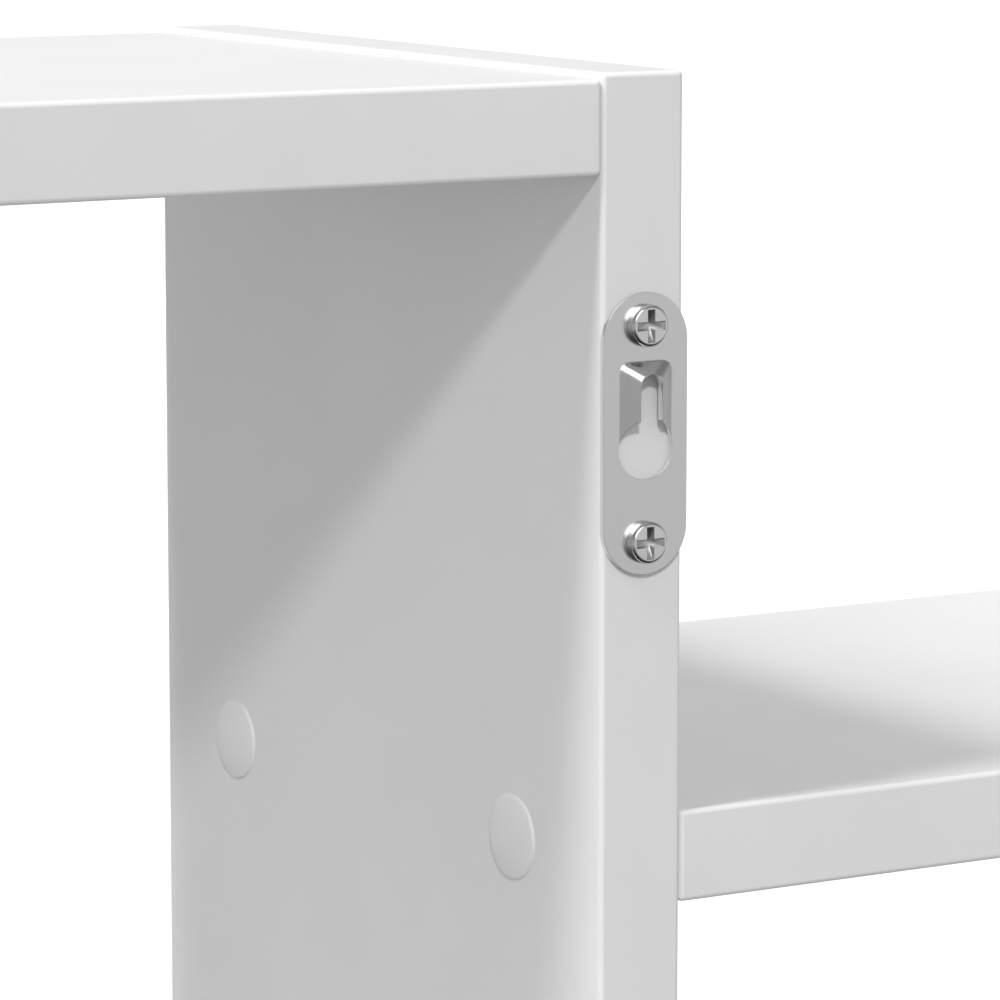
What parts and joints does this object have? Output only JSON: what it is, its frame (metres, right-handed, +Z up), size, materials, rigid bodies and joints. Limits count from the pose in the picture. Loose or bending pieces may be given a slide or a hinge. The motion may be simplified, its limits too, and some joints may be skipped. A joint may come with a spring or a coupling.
{
  "type": "floating wall shelf",
  "caption": "Wall shelf of white faced board: an open cube between two cantilevered wing shelves, hung on pressed keyhole plates on the rear edges of the cube's sides.",
  "frame": {"origin": "on the wall plane, midway between the two points where the wall screws carry the keyhole plates", "axes": "+X to the right as seen from the room, along the shelf's length; +Y into the wall; +Z up"},
  "size_m": [0.8006, 0.1532, 0.25],
  "materials": {
    "white_melamine": "smooth satin white melamine on chipboard, edges banded and eased",
    "cap_plastic": "satin white moulded plastic",
    "plate_steel": "zinc-plated pressed sheet steel",
    "screw_steel": "bright zinc-plated steel",
    "connector_steel": "zinc-plated steel",
    "beech": "plain turned beech"
  },
  "bodies": {
    "root": {"left_side": "white_melamine", "right_side": "white_melamine", "top_board": "white_melamine", "bottom_board": "white_melamine", "left_wing": "white_melamine", "right_wing": "white_melamine", "left_keyhole_plate": "plate_steel", "right_keyhole_plate": "plate_steel", "left_plate_screw_upper": "screw_steel", "left_plate_screw_lower": "screw_steel", "right_plate_screw_upper": "screw_steel", "right_plate_screw_lower": "screw_steel", "left_top_screw_front": "connector_steel", "left_top_screw_rear": "connector_steel", "left_bottom_screw_front": "connector_steel", "left_bottom_screw_rear": "connector_steel", "left_wing_screw_front": "connector_steel", "left_wing_screw_rear": "connector_steel", "right_top_screw_front": "connector_steel", "right_top_screw_rear": "connector_steel", "right_bottom_screw_front": "connector_steel", "right_bottom_screw_rear": "connector_steel", "right_wing_screw_front": "connector_steel", "right_wing_screw_rear": "connector_steel", "left_top_cap_front": "cap_plastic", "left_top_cap_rear": "cap_plastic", "left_bottom_cap_front": "cap_plastic", "left_bottom_cap_rear": "cap_plastic", "left_wing_cap_front": "cap_plastic", "left_wing_cap_rear": "cap_plastic", "right_top_cap_front": "cap_plastic", "right_top_cap_rear": "cap_plastic", "right_bottom_cap_front": "cap_plastic", "right_bottom_cap_rear": "cap_plastic", "right_wing_cap_front": "cap_plastic", "right_wing_cap_rear": "cap_plastic", "left_top_dowel": "beech", "left_bottom_dowel": "beech", "left_wing_dowel": "beech", "right_top_dowel": "beech", "right_bottom_dowel": "beech", "right_wing_dowel": "beech"}
  },
  "joints": []
}
